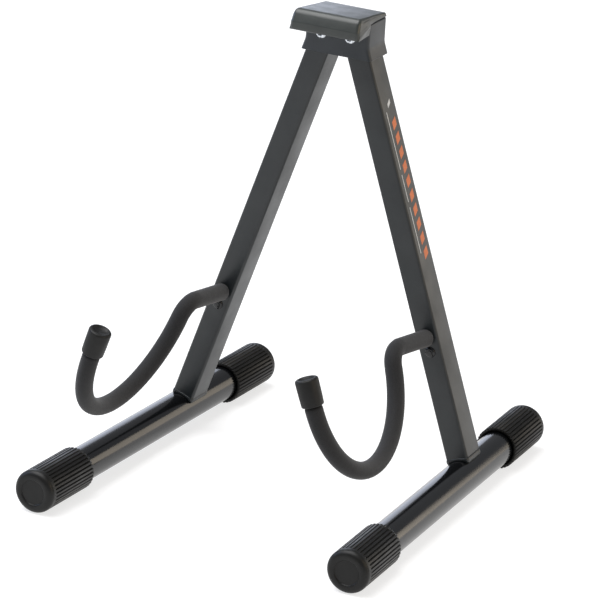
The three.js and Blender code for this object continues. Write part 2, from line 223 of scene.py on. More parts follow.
@dataclass(frozen=True)
class Finish:
    """What every finish has: a name, a colour and the shader's plain values."""

    name: str
    colour: str
    roughness: float
    ior: float = 1.5
    metallic: float = 0.0
    specular: float = 0.5
    coat: float = 0.0
    coat_roughness: float = 0.1
    sheen: float = 0.0

    def material(self) -> bpy.types.Material:
        """Makes the material once and hands out the same one after that."""
        known = bpy.data.materials.get(self.name)
        if known is not None:
            return known
        material = bpy.data.materials.new(self.name)
        material.use_nodes = True
        tree = material.node_tree
        shader = tree.nodes["Principled BSDF"]
        shader.inputs["Base Color"].default_value = linear_colour(self.colour)
        shader.inputs["Roughness"].default_value = self.roughness
        shader.inputs["Metallic"].default_value = self.metallic
        if not self.metallic:
            shader.inputs["IOR"].default_value = self.ior
        shader.inputs["Specular IOR Level"].default_value = self.specular
        shader.inputs["Coat Weight"].default_value = self.coat
        shader.inputs["Coat Roughness"].default_value = self.coat_roughness
        shader.inputs["Sheen Weight"].default_value = self.sheen
        place = add_node(tree, "ShaderNodeTexCoord", {}).outputs["Object"]
        self.detail(Surface(tree, shader, place))
        return material

    def detail(self, surface: Surface) -> None:
        """Adds the pattern of this finish; each kind of finish has its own."""
        raise NotImplementedError


@dataclass(frozen=True)
class PowderCoat(Finish):
    """Polyester powder sprayed on steel and baked: a smooth film with a fine orange peel."""

    # Real peel is about 0.6 mm from crest to crest; it is drawn coarser so that it shows.
    peel_mm: float = 1.1
    peel_height_mm: float = 0.012
    handling_mm: float = 26.0
    dust_mm: float = 14.0
    dust_share: float = 0.35
    dust: str = "#2A2D30"

    def detail(self, surface: Surface) -> None:
        """Orange peel in the relief, and a slight drift in gloss and shade from handling."""
        surface.raise_grain(self.peel_mm, self.peel_height_mm, strength=1.0, detail=1.5)
        surface.drift_gloss(self.handling_mm, self.roughness, low=0.85, high=1.2)
        surface.drift_shade(self.dust_mm, self.dust_share, self.colour, self.dust)


@dataclass(frozen=True)
class MouldedRubber(Finish):
    """Vulcanised rubber from an eroded steel mould: matt, with a fine even grain."""

    # Spark-eroded grain is about 0.1 mm; it is drawn coarser so that it shows.
    grain_mm: float = 0.45
    grain_height_mm: float = 0.03
    gloss_mm: float = 9.0
    bloom_mm: float = 12.0
    bloom_share: float = 0.4
    bloom: str = "#55544E"

    def detail(self, surface: Surface) -> None:
        """Mould grain in the relief, and a pale waxy bloom that comes and goes."""
        grain, height = self.grain_mm, self.grain_height_mm
        surface.raise_grain(grain, height, strength=0.8, detail=4.0, roughness=0.6)
        surface.drift_gloss(self.gloss_mm, self.roughness, low=0.88, high=1.12)
        surface.drift_shade(self.bloom_mm, self.bloom_share, self.colour, self.bloom)


@dataclass(frozen=True)
class ClosedCellFoam(Finish):
    """Extruded nitrile foam tube: dull, with a skin of fine closed cells."""

    # The skin's cells are about 0.3 mm; they are drawn coarser so that they show.
    cell_mm: float = 0.7
    cell_height_mm: float = 0.12
    cell_dip: float = -0.7
    wave_mm: float = 5.0
    # Painted shade: the colour darkens towards this in the dips between the cells.
    pore: str = "#101012"

    def detail(self, surface: Surface) -> None:
        """Cells as a cobbled relief, with shade painted into the dips between them."""
        tree = surface.tree
        scale = 1 / (self.cell_mm * MM)
        inputs = {"Vector": surface.place, "Scale": scale, "Randomness": 1.0}
        cells = add_node(tree, "ShaderNodeTexVoronoi", inputs, feature="F1").outputs["Distance"]
        terms = {0: cells, 1: self.cell_dip, 2: surface.drift(self.wave_mm, 0.0, 1.0)}
        height = add_node(tree, "ShaderNodeMath", terms, operation="MULTIPLY_ADD")
        relief = {
            "Height": height.outputs["Value"],
            "Distance": self.cell_height_mm * MM,
            "Strength": 0.6,
        }
        surface.feed("Normal", add_node(tree, "ShaderNodeBump", relief).outputs["Normal"])
        # Painted shade: where the cells dip, the colour is darkened towards the shade colour.
        edges = {"Value": cells, "From Min": 0.25, "From Max": 0.75}
        pore_shade_amount = add_node(tree, "ShaderNodeMapRange", edges).outputs["Result"]
        shades = {FIRST_SHADE: linear_colour(self.colour), SECOND_SHADE: linear_colour(self.pore)}
        mix = add_node(tree, "ShaderNodeMix", {"Factor": pore_shade_amount, **shades}, data_type="RGBA")
        surface.feed("Base Color", mix.outputs[MIXED_SHADE])


@dataclass(frozen=True)
class PlatedSteel(Finish):
    """Zinc-plated or bare drawn steel: bright metal with fine turning or drawing lines."""

    # Turning lines are about 0.1 mm apart; they are drawn coarser so that they show.
    line_mm: float = 0.25
    line_height_mm: float = 0.006
    gloss_mm: float = 2.5
    stretch: Point = (1.0, 1.0, 0.08)

    def detail(self, surface: Surface) -> None:
        """Lines drawn out along one axis in the relief, and a cloudy gloss."""
        inputs = {"Vector": surface.place, "Scale": self.stretch}
        along = add_node(surface.tree, "ShaderNodeMapping", inputs).outputs["Vector"]
        lined = Surface(surface.tree, surface.shader, along)
        lined.raise_grain(self.line_mm, self.line_height_mm, strength=0.7, detail=3.0)
        surface.drift_gloss(self.gloss_mm, self.roughness, low=0.7, high=1.4)


@dataclass(frozen=True)
class MouldedNylon(Finish):
    """Injection-moulded polyamide in its natural milky colour, faintly cloudy."""

    cloud_mm: float = 3.0
    cloud_share: float = 0.5
    cloud: str = "#C9C4B2"
    gloss_mm: float = 2.0

    def detail(self, surface: Surface) -> None:
        """Cloudy shade and gloss from the melt's flow."""
        surface.drift_shade(self.cloud_mm, self.cloud_share, self.colour, self.cloud)
        surface.drift_gloss(self.gloss_mm, self.roughness, low=0.8, high=1.2)


@dataclass(frozen=True)
class ScreenInk(Finish):
    """Opaque ink screen-printed on the coating, with the mesh's faint grain."""

    # A printing mesh is about 0.1 mm; it is drawn coarser so that a trace of it shows.
    mesh_mm: float = 0.3
    mesh_height_mm: float = 0.01
    cover_mm: float = 1.5
    cover_share: float = 0.25
    coating: str = "#3A3A3C"

    def detail(self, surface: Surface) -> None:
        """Slightly uneven ink cover and a trace of the screen's mesh."""
        surface.drift_shade(self.cover_mm, self.cover_share, self.colour, self.coating)
        surface.raise_grain(self.mesh_mm, self.mesh_height_mm, strength=0.5, detail=1.0)


@dataclass(frozen=True)
class LightTable(Finish):
    """Opal acrylic sheet lit from below, cast and lightly sanded."""

    glow: float = 0.7
    glow_colour: str = "#FFFFFF"
    sanding_mm: float = 300.0
    sanded: tuple[float, float] = (0.88, 0.96)

    def detail(self, surface: Surface) -> None:
        """An even glow, and a faint drift in roughness from the sanding."""
        inputs = surface.shader.inputs
        inputs["Emission Color"].default_value = linear_colour(self.glow_colour)
        inputs["Emission Strength"].default_value = self.glow
        surface.feed("Roughness", surface.drift(self.sanding_mm, *self.sanded))


# Thick high-gloss powder on the round foot tubes and on the welds under the arms: deep black
# that mirrors the softboxes as long narrow streaks, slightly broken by the orange peel.
GLOSS_BLACK = PowderCoat(
    "powder_coated_steel_gloss_black", "#060708", 0.17, ior=1.42, coat=0.15, dust="#0B0C0F"
)
# Satin powder on the rectangular leg tubes: black that takes a soft grey sheen from above.
SATIN_BLACK = PowderCoat(
    "powder_coated_steel_satin_black", "#14181A", 0.38, peel_height_mm=0.02, dust="#1E2426"
)
# The same satin powder on the thin bent sheet, a little bluer and greyer.
HEAD_BLACK = PowderCoat(
    "powder_coated_sheet_satin_black", "#1A2026", 0.4, peel_height_mm=0.02, dust="#262C31"
)
# Filled rubber from an eroded mould: near-black, with ribs picked out by a dull shine.
CAP_RUBBER = MouldedRubber(
    "moulded_rubber_foot_cap", "#0B0B0A", 0.42, ior=1.52, specular=0.26, bloom="#191917"
)
# The same rubber on the arm tips, duller where hands push the guitar in.
TIP_RUBBER = MouldedRubber(
    "moulded_rubber_arm_tip", "#0C0C0C", 0.5, ior=1.52, specular=0.26, bloom="#1C1C1A"
)
# Softer grey-black rubber of the head pad: the flat top glows pale grey under the light.
PAD_RUBBER = MouldedRubber("moulded_rubber_head_pad", "#242826", 0.36, ior=1.55, bloom="#353936")
# Foam skin: dead matt black with a faint pale edge where the light grazes it.
SLEEVE_FOAM = ClosedCellFoam("extruded_nitrile_foam_sleeve", "#18181A", 0.85, ior=1.45, sheen=0.12)
# Zinc plating: bright bluish silver, mirror-like between fine turning lines.
ZINC_STEEL = PlatedSteel("zinc_plated_steel_fastener", "#D5D9DE", 0.22, metallic=1.0)
# Drawn bar without a coating: duller silver with lines along it.
DRAWN_STEEL = PlatedSteel("cold_drawn_bare_steel", "#9EA0A2", 0.35, metallic=1.0)
# Natural nylon: milky off-white with a waxy shine.
NYLON = MouldedNylon("moulded_natural_nylon_washer", "#DDD9CB", 0.45, ior=1.53)
# Printing ink: flat and opaque, a trace of the coating's black showing through.
ORANGE_INK = ScreenInk("screen_printed_orange_ink", "#C9672A", 0.5)
WHITE_INK = ScreenInk("screen_printed_white_ink", "#C9CBCB", 0.5)
# Opal acrylic over lamps: plain white, on which only pale soft shadows show.
OPAL_SHEET = LightTable("sanded_opal_acrylic", "#A8A8A8", 0.92)


# ------------------------------------------------------------------ mesh code


def make_object(
    name: str,
    loops: Sequence[Loop],
    finish: Finish,
    closed_rows: bool = False,
    smooth_angle: float = SMOOTH_ANGLE,
) -> bpy.types.Object:
    """Skins a row of loops that all have the same number of points.

    Args:
        name: Name of the new object.
        loops: Closed loops of points, in order along the piece.
        finish: Finish of the whole piece.
        closed_rows: Whether the last loop joins back to the first. If not, a face closes
            the first and the last loop.
        smooth_angle: Edges sharper than this, in degrees, stay crisp.

    Returns:
        The new object.
    """
    count = len(loops[0])
    points = [point for loop in loops for point in loop]
    rows = len(loops) if closed_rows else len(loops) - 1
    faces = []
    for row in range(rows):
        here = row * count
        there = ((row + 1) % len(loops)) * count
        for column in range(count):
            after = (column + 1) % count
            faces.append((here + column, here + after, there + after, there + column))
    if not closed_rows:
        faces.append(tuple(reversed(range(count))))
        last = (len(loops) - 1) * count
        faces.append(tuple(range(last, last + count)))
    return mesh_object(name, points, faces, finish, smooth_angle)


def mesh_object(
    name: str,
    points: Iterable[Vector],
    faces: Sequence[Sequence[int]],
    finish: Finish,
    smooth_angle: float = SMOOTH_ANGLE,
) -> bpy.types.Object:
    """Makes an object from points and faces, cleans it and shades it.

    Args:
        name: Name of the new object.
        points: Corner points in metres.
        faces: Corner numbers of each face.
        finish: Finish of the whole piece.
        smooth_angle: Edges sharper than this, in degrees, stay crisp.

    Returns:
        The new object, linked to the scene.
    """
    mesh = bpy.data.meshes.new(name)
    mesh.from_pydata([tuple(point) for point in points], [], faces)
    tidy = bmesh_from(mesh)
    tidy.to_mesh(mesh)
    tidy.free()
    mesh.materials.append(finish.material())
    mesh.shade_smooth()
    mesh.set_sharp_from_angle(angle=math.radians(smooth_angle))
    piece = bpy.data.objects.new(name, mesh)
    bpy.context.scene.collection.objects.link(piece)
    return piece


def bmesh_from(mesh: bpy.types.Mesh) -> bmesh.types.BMesh:
    """Loads a mesh into bmesh, merges doubled points and turns all faces outwards.

    Args:
        mesh: The mesh to load.

    Returns:
        The cleaned copy, which the caller frees.
    """
    work = bmesh.new()
    work.from_mesh(mesh)
    bmesh.ops.remove_doubles(work, verts=work.verts, dist=MERGE_DISTANCE)
    bmesh.ops.dissolve_degenerate(work, edges=work.edges, dist=SHORTEST_EDGE)
    bmesh.ops.recalc_face_normals(work, faces=work.faces)
    return work


def ring(
    radius: float,
    y: float,
    sides: int,
    change: Callable[[float], float] = lambda angle: 0.0,
) -> Loop:
    """A loop round the Y axis.

    Args:
        radius: Distance from the axis, in metres.
        y: Place along the axis.
        sides: Number of points.
        change: What is added to the radius at each angle.

    Returns:
        The loop's points.
    """
    loop = []
    for side in range(sides):
        angle = FULL_TURN * side / sides
        distance = max(radius + change(angle), AXIS_RADIUS)
        loop.append(Vector((distance * math.cos(angle), y, distance * math.sin(angle))))
    return loop


def arc(centre: Point, radius: float, start: float, end: float, steps: int) -> Outline:
    """Points on an arc in a plane.

    Args:
        centre: The arc's centre.
        radius: The arc's radius.
        start: First angle, in degrees.
        end: Last angle, in degrees.
        steps: Number of stretches.

    Returns:
        The points from the first angle to the last.
    """
    angles = [math.radians(start + (end - start) * step / steps) for step in range(steps + 1)]
    return [(centre[0] + radius * math.cos(a), centre[1] + radius * math.sin(a)) for a in angles]


def rounded_plan(half_width: float, half_depth: float, radius: float, steps: int) -> Outline:
    """Outline of a rectangle with round corners, in order round its middle.

    Args:
        half_width: Half its size across.
        half_depth: Half its size the other way.
        radius: Radius of its corners.
        steps: Number of stretches in each corner.

    Returns:
        The outline's points, anticlockwise.
    """
    corners = [(1, 1, 0), (-1, 1, 90), (-1, -1, 180), (1, -1, 270)]
    outline = []
    for across, along, start in corners:
        centre = (across * (half_width - radius), along * (half_depth - radius))
        outline += arc(centre, radius, start, start + 90, steps)
    return outline


def turned(name: str, profile: Sequence[Point], finish: Finish, sides: int) -> bpy.types.Object:
    """Turns a profile of (radius, y) points round the Y axis into a piece."""
    return make_object(name, [ring(radius, y, sides) for radius, y in profile], finish)


def place(piece: bpy.types.Object, where: Matrix) -> bpy.types.Object:
    """Moves a piece's own points, so that its object stays at the origin."""
    piece.data.transform(where)
    return piece


def dress_node(frame: dict, node: str, finish: Finish) -> None:
    """Gives a carried-over CAD node its finish.

    Args:
        frame: The loaded frame.
        node: Name of the node.
        finish: Its finish.
    """
    for slot in frame["nodes"][node].material_slots:
        slot.material = finish.material()
    LOG.info("dressed %s in %s", node, finish.name)


def settle(piece: bpy.types.Object, body: str, slot: str, *nodes: str) -> None:
    """Makes a piece ride on its body and hides the nodes that it stands for.

    Args:
        piece: The piece.
        body: Name of the body it moves with.
        slot: Not used.
        *nodes: CAD nodes that it replaces.
    """
    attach(piece, body)
    if nodes:
        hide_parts(*nodes)
    LOG.info("built %s on %s", piece.name, body)


# ------------------------------------------------------------------ places in the frame


@dataclass(frozen=True)
class Space:
    """A piece's own axes: a matrix that turns them into the frame's."""

    side: Side
    matrix: Matrix

    def bounds(self, frame: dict, node: str) -> tuple[Vector, Vector]:
        """Lowest and highest corner of a CAD node, measured along this space's axes.

        Args:
            frame: The loaded frame.
            node: Name of the node.

        Returns:
            The two corners.
        """
        back = self.matrix.inverted()
        points = [back @ vertex.co for vertex in frame["nodes"][node].data.vertices]
        low = Vector([min(point[axis] for point in points) for axis in range(3)])
        high = Vector([max(point[axis] for point in points) for axis in range(3)])
        return low, high

    def mount(self, piece: bpy.types.Object, slot: str, *nodes: str) -> None:
        """Moves a piece out of this space into the frame and puts it on its side's leg."""
        settle(place(piece, self.matrix), self.side.body, slot, *nodes)


@dataclass(frozen=True)
class Hinge:
    """One leg's hinge, as the frame's joint gives it."""

    side: Side
    place: Vector
    rearwards: Vector

    @classmethod
    def read(cls, frame: dict, side: Side) -> "Hinge":
        """Reads the joint of one side, with its axis turned to point to the rear.

        Args:
            frame: The loaded frame.
            side: Which leg's joint to read.

        Returns:
            The leg's hinge.
        """
        joint = next(j for j in frame["joints"] if j["name"] == f"{side.word}_leg_fold")
        axis = Vector(joint["axis"]).normalized()
        return cls(side, Vector(joint["pos_m"]), axis if axis.y > 0 else -axis)

    def space_at(self, origin: Vector, up: Vector) -> Space:
        """A space with +Y to the rear along the hinge and +Z along up.

        Args:
            origin: Where the space's origin lies in the frame.
            up: Unit vector for its +Z.

        Returns:
            The space.
        """
        across = self.rearwards.cross(up)
        turn = Matrix((across, self.rearwards, up)).transposed().to_4x4()
        return Space(self.side, Matrix.Translation(origin) @ turn)

    @property
    def foot_space(self) -> Space:
        """The foot's space: its origin is the middle of the foot tube."""
        low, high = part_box(f"{self.side.word}_foot_tube")
        return self.space_at((low + high) / 2, Vector((0, 0, 1)))

    @property
    def leg_space(self) -> Space:
        """The leg's space: its origin is on the foot tube's axis, and +Z runs up the leg."""
        middle = self.foot_space.matrix.translation
        origin = middle + self.rearwards * (self.place - middle).dot(self.rearwards)
        return self.space_at(origin, (self.place - origin).normalized())

    @property
    def pivot_space(self) -> Space:
        """The pivot's space: its origin is the middle of the leg on the bolt's axis."""
        return self.space_at(self.place, Vector((0, 0, 1)))


# ------------------------------------------------------------------ feet


@dataclass
class Foot:
    """One foot: the round tube and its two ribbed rubber caps."""

    frame: dict
    space: Space
    tube_wall: float = 1.5 * MM
    tube_edge: float = 0.3 * MM
    tube_sides: int = 96
    ribs: int = 36
    points_per_rib: int = 12
    rib_depth: float = 0.95 * MM
    rib_top_share: float = 0.56
    rib_run_out: float = 1.6 * MM
    rib_run_out_rows: int = 6
    edge_radius: float = 4.2 * MM
    edge_rows: int = 8
    smooth_end: float = 6.5 * MM
    end_thickness: float = 6.5 * MM
    recess_radius: float = 9.5 * MM
    recess_depth: float = 0.8 * MM
    recess_inner_share: float = 0.6
    recess_foot: float = 0.5 * MM
    recess_edge_depth: float = 0.15 * MM
    recess_edge_width: float = 0.3 * MM
    mouth_gap: float = 0.55 * MM
    mouth_edge: float = 0.5 * MM
    # Rows round the mouth's outer edge: distance inwards, distance back, share of rib depth.
    mouth_rounding: Sequence[Point] = (
        (0.0, 0.5 * MM, 1.0),
        (0.25 * MM, 0.12 * MM, 0.9),
        (0.6 * MM, 0.0, 0.6),
    )
    cap_smooth_angle: float = 50.0
    low: Vector = field(init=False)
    high: Vector = field(init=False)

    def build(self) -> None:
        """Builds the tube and both caps and puts them on the leg's body."""
        word = self.space.side.word
        self.low, self.high = self.space.bounds(self.frame, f"{word}_foot_tube")
        self.build_tube()
        for end, turn in (("front", 0.0), ("rear", math.pi)):
            self.build_cap(end, turn)

    def build_tube(self) -> None:
        """Builds the foot tube with lightly broken edges at its cut ends."""
        start, end, radius, edge = self.low.y, self.high.y, self.high.z, self.tube_edge
        profile = [
            (radius - self.tube_wall, start),
            (radius - edge, start),
            (radius, start + edge),
            (radius, end - edge),
            (radius - edge, end),
            (radius - self.tube_wall, end),
        ]
        loops = [ring(r, y, self.tube_sides) for r, y in profile]
        word = self.space.side.word
        piece = make_object(f"{word}_foot_tube_coated", loops, GLOSS_BLACK, closed_rows=True)
        self.space.mount(piece, "foot_paint", f"{word}_foot_tube")

    def groove(self, angle: float) -> float:
        """How deep the cap is cut at an angle, from 0 on a rib top to 1 in a groove.

        Args:
            angle: Angle round the cap, in radians.

        Returns:
            The share of the rib depth.
        """
        pitch = FULL_TURN / self.ribs
        share = ((angle + math.pi / 2) / pitch + 0.5) % 1.0
        from_top_middle = abs(share - 0.5) * 2
        inside = (from_top_middle - self.rib_top_share) / (1 - self.rib_top_share)
        return math.sin(min(inside, 1.0) * math.pi / 2) if inside > 0 else 0.0

    def cap_profile(self, radius: float, length: float) -> list[tuple[float, float, float]]:
        """Rows along the cap, from the middle of its closed end to the bottom of its bore.

        Args:
            radius: Distance from the axis to the rib tops.
            length: Length of the cap.

        Returns:
            Radius, place along the axis and share of the rib depth, for each row.
        """
        end = -length / 2
        edge = self.edge_radius
        recess = self.recess_radius
        floor = end + self.recess_depth
        middle = [0.0, recess * self.recess_inner_share, recess - self.recess_foot]
        rows = [(reach, floor, 0.0) for reach in middle]
        rows.append((recess, end + self.recess_edge_depth, 0.0))
        rows.append((recess + self.recess_edge_width, end, 0.0))
        corner = arc((radius - edge, end + edge), edge, -90, 0, self.edge_rows)
        rows += [(r, y, 0.0) for r, y in corner]
        start = end + self.smooth_end
        for step in range(self.rib_run_out_rows + 1):
            share = step / self.rib_run_out_rows
            run_out = math.sqrt(max(1 - (1 - share) ** 2, 0.0))
            rows.append((radius, start + share * self.rib_run_out, run_out))
        mouth = -end
        for inwards, back, depth in self.mouth_rounding:
            rows.append((radius - inwards, mouth - back, depth))
        bore = self.high.z + self.mouth_gap
        rows += [(bore + self.mouth_edge, mouth, 0.0), (bore, mouth - self.mouth_edge, 0.0)]
        rows += [(bore, end + self.end_thickness, 0.0), (0.0, end + self.end_thickness, 0.0)]
        return rows

    def build_cap(self, end: str, turn: float) -> None:
        """Builds one cap; turn is half a turn for the cap at the rear.

        Args:
            end: Which end of the foot it closes, as the node's name spells it.
            turn: Half a turn for the cap at the rear, in radians; otherwise 0.
        """
        node = f"{self.space.side.word}_{end}_cap"
        low, high = self.space.bounds(self.frame, node)
        sides = self.ribs * self.points_per_rib
        loops = []
        for radius, y, depth in self.cap_profile((high.z - low.z) / 2, high.y - low.y):
            cut = self.rib_depth * depth
            loops.append(ring(radius, y, sides, lambda angle: -cut * self.groove(angle)))
        name = f"{node}_ribbed"
        piece = make_object(name, loops, CAP_RUBBER, smooth_angle=self.cap_smooth_angle)
        place(piece, Matrix.Rotation(turn, 4, "Z"))
        place(piece, self.space.matrix @ Matrix.Translation((low + high) / 2))
        settle(piece, self.space.side.body, "cap_rubber", node)


# ------------------------------------------------------------------ legs


@dataclass
class Leg:
    """One rectangular leg tube with its welds and, on the right one, the printed mark."""

    frame: dict
    space: Space
    corner_radius: float = 2.0 * MM
    smallest_corner: float = 0.3 * MM
    corner_steps: int = 6
    wall: float = 1.5 * MM
    cut_edge: float = 0.25 * MM
    bead_radius: float = 1.25 * MM
    bead_inset: float = 0.9 * MM
    bead_overlap: float = 0.45 * MM
    bead_sides: int = 12
    bead_smooth_angle: float = 80.0
    ripple_pitch: float = 1.5 * MM
    ripple_height: float = 0.16 * MM
    points_per_ripple: int = 5
    arm_weld_rows: int = 24
    arm_weld_sides: int = 32
    arm_weld_sink: float = 0.28 * MM
    pool_rings: int = 5
    pool_ring_share: float = 0.05
    low: Vector = field(init=False)
    high: Vector = field(init=False)

    def build(self) -> None:
        """Builds the tube, both welds and, on the right leg, the printed mark."""
        word = self.space.side.word
        self.low, self.high = self.space.bounds(self.frame, f"{word}_leg_tube")
        self.build_tube()
        self.build_bead()
        self.build_arm_weld()
        dress_node(self.frame, f"{word}_leg_weld", SATIN_BLACK)
        if self.space.side is Side.RIGHT:
            PrintedMark(self.space, self.high.x).build()

    def outline(self, inset: float, z: float) -> Loop:
        """The tube's cross-section, drawn in by inset, at a height along the leg.

        Args:
            inset: Distance inside the tube's outer face.
            z: Height along the leg.

        Returns:
            The cross-section's points.
        """
        half_width = (self.high.x - self.low.x) / 2 - inset
        half_depth = (self.high.y - self.low.y) / 2 - inset
        middle = (self.high.y + self.low.y) / 2
        radius = max(self.corner_radius - inset, self.smallest_corner)
        plan = rounded_plan(half_width, half_depth, radius, self.corner_steps)
        return [Vector((x, y + middle, z)) for x, y in plan]

    def build_tube(self) -> None:
        """Builds the hollow tube with lightly broken edges at its square-cut ends."""
        edge = self.cut_edge
        bottom, top = self.low.z, self.high.z
        loops = [
            self.outline(self.wall, bottom),
            self.outline(edge, bottom),
            self.outline(0, bottom + edge),
            self.outline(0, top - edge),
            self.outline(edge, top),
            self.outline(self.wall, top),
        ]
        word = self.space.side.word
        piece = make_object(f"{word}_leg_coated", loops, SATIN_BLACK, closed_rows=True)
        self.space.mount(piece, "leg_paint", f"{word}_leg_tube")

    def build_bead(self) -> None:
        """Runs a rippled weld bead round the leg's foot, between its edge and the round tube."""
        low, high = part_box(f"{self.space.side.word}_foot_tube")
        tube_radius = (high.z - low.z) / 2
        spacing = self.ripple_pitch / self.points_per_ripple
        path = resample(self.outline(self.bead_inset, 0.0), spacing)
        loops = []
        travelled = 0.0
        for index, point in enumerate(path):
            ahead = path[(index + 1) % len(path)]
            behind = path[index - 1]
            surface = math.sqrt(max(tube_radius**2 - point.x**2, 0.0))
            middle = Vector((point.x, point.y, (surface + self.low.z) / 2))
            ripple = abs(math.sin(math.pi * travelled / self.ripple_pitch)) * self.ripple_height
            half_gap = (self.low.z - surface) / 2
            tall = max(half_gap + self.bead_overlap, self.bead_radius) + ripple
            wide = self.bead_radius + ripple
            tangent = (ahead - behind).normalized()
            outward = tangent.cross(Vector((0, 0, 1)))
            loop = []
            for side in range(self.bead_sides):
                angle = FULL_TURN * side / self.bead_sides
                sideways = outward * (wide * math.cos(angle))
                loop.append(middle + sideways + Vector((0, 0, tall * math.sin(angle))))
            loops.append(loop)
            travelled += (ahead - point).length
        name = f"{self.space.side.word}_leg_weld_bead"
        smooth = self.bead_smooth_angle
        piece = make_object(name, loops, SATIN_BLACK, closed_rows=True, smooth_angle=smooth)
        self.space.mount(piece, "leg_paint")

    def build_arm_weld(self) -> None:
        """Builds the small rounded weld under the arm, with rings left by the pool."""
        word = self.space.side.word
        node = f"{word}_arm_weld"
        low, high = self.space.bounds(self.frame, node)
        radius = (high.x - low.x) / 2
        height = high.y - low.y
        profile = []
        for step in range(self.arm_weld_rows + 1):
            share = step / self.arm_weld_rows
            wave = self.pool_ring_share * math.sin(share * self.pool_rings * math.pi) * height
            dome = -height * math.sqrt(1 - share**2)
            profile.append((radius * share, dome + wave * (1 - share)))
        profile.append((radius, self.arm_weld_sink))
        piece = turned(f"{node}_bead", profile, GLOSS_BLACK, self.arm_weld_sides)
        place(piece, Matrix.Translation(((low.x + high.x) / 2, high.y, (low.z + high.z) / 2)))
        self.space.mount(piece, "leg_paint", node)


@dataclass(frozen=True)
class PrintedMark:
    """The plain print on a leg's outer face: slanted bars, thin lines and a small tick."""

    space: Space
    face: float
    stand_off: float = 0.04 * MM
    film: float = 0.03 * MM
    slant: float = 3.0 * MM
    bars: int = 10
    bar_pitch_mm: float = 10.6
    bar_start_mm: float = 160.0
    bar_length_mm: float = 6.2
    bar_width: float = 6.4 * MM
    bar_y: float = 2.2 * MM
    line_width: float = 0.8 * MM
    line_y: float = -5.6 * MM
    # Start and length of each line, in millimetres up the leg.
    line_runs: Sequence[Point] = ((166, 34), (204, 20), (228, 42))
    tick_start_mm: float = 272.0
    tick_length_mm: float = 3.0
    tick_width: float = 5.0 * MM
    tick_y: float = 1.0 * MM

    def build(self) -> None:
        """Prints the bars in orange, and the lines and the tick in white."""
        starts = [self.bar_start_mm + step * self.bar_pitch_mm for step in range(self.bars)]
        bars = [
            self.patch(self.bar_y, self.bar_width, self.slant, start, self.bar_length_mm)
            for start in starts
        ]
        lines = [self.patch(self.line_y, self.line_width, 0.0, *run) for run in self.line_runs]
        tick = (self.tick_start_mm, self.tick_length_mm)
        lines.append(self.patch(self.tick_y, self.tick_width, self.slant, *tick))
        printed = [
            slab_object("right_leg_printed_bars", bars, ORANGE_INK, self.film),
            slab_object("right_leg_printed_lines", lines, WHITE_INK, self.film),
        ]
        for piece in printed:
            self.space.mount(piece, "leg_paint")

    def patch(
        self, y: float, width: float, slant: float, start_mm: float, length_mm: float
    ) -> Loop:
        """Outline of one patch of ink on the leg's side.

        Args:
            y: Place of its middle across the face.
            width: Its width across the face.
            slant: How much further up the leg its rear side is.
            start_mm: How far up the leg it starts, in millimetres.
            length_mm: Its length along the leg, in millimetres.

        Returns:
            Its four corners in leg space.
        """
        start = start_mm * MM
        end = start + length_mm * MM
        half = width / 2
        x = self.face + self.stand_off
        corners = [(-half, start), (half, start + slant), (half, end + slant), (-half, end)]
        return [Vector((x, y + across, along)) for across, along in corners]


def slab_object(
    name: str, outlines: Sequence[Loop], finish: Finish, thickness: float
) -> bpy.types.Object:
    """Makes thin slabs that stand on the +X side of their outlines.

    Args:
        name: Name of the new object.
        outlines: Corners of each slab's inner face.
        finish: Finish of all slabs.
        thickness: How far they stand out, in metres.

    Returns:
        The new object, which holds all slabs.
    """
    points: list[Vector] = []
    faces: list[tuple[int, ...]] = []
    for outline in outlines:
        start = len(points)
        count = len(outline)
        points += outline + [point + Vector((thickness, 0, 0)) for point in outline]
        faces.append(tuple(start + index for index in reversed(range(count))))
        faces.append(tuple(start + count + index for index in range(count)))
        for index in range(count):
            here, after = start + index, start + (index + 1) % count
            faces.append((here, after, after + count, here + count))
    return mesh_object(name, points, faces, finish)


def resample(path: Loop, step: float) -> Loop:
    """Spreads points evenly, about step apart, round a closed path.

    Args:
        path: The path's corners, without the first one repeated.
        step: Distance wanted between two points.

    Returns:
        The new points, at least eight of them.
    """
    closed = path + [path[0]]
    lengths = [0.0]
    for first, second in zip(closed, closed[1:]):
        lengths.append(lengths[-1] + (second - first).length)
    count = max(round(lengths[-1] / step), 8)
    result = []
    index = 0
    for number in range(count):
        target = lengths[-1] * number / count
        while lengths[index + 1] < target:
            index += 1
        span = lengths[index + 1] - lengths[index]
        share = (target - lengths[index]) / span if span else 0.0
        result.append(closed[index].lerp(closed[index + 1], share))
    return result


# ------------------------------------------------------------------ cradle arms


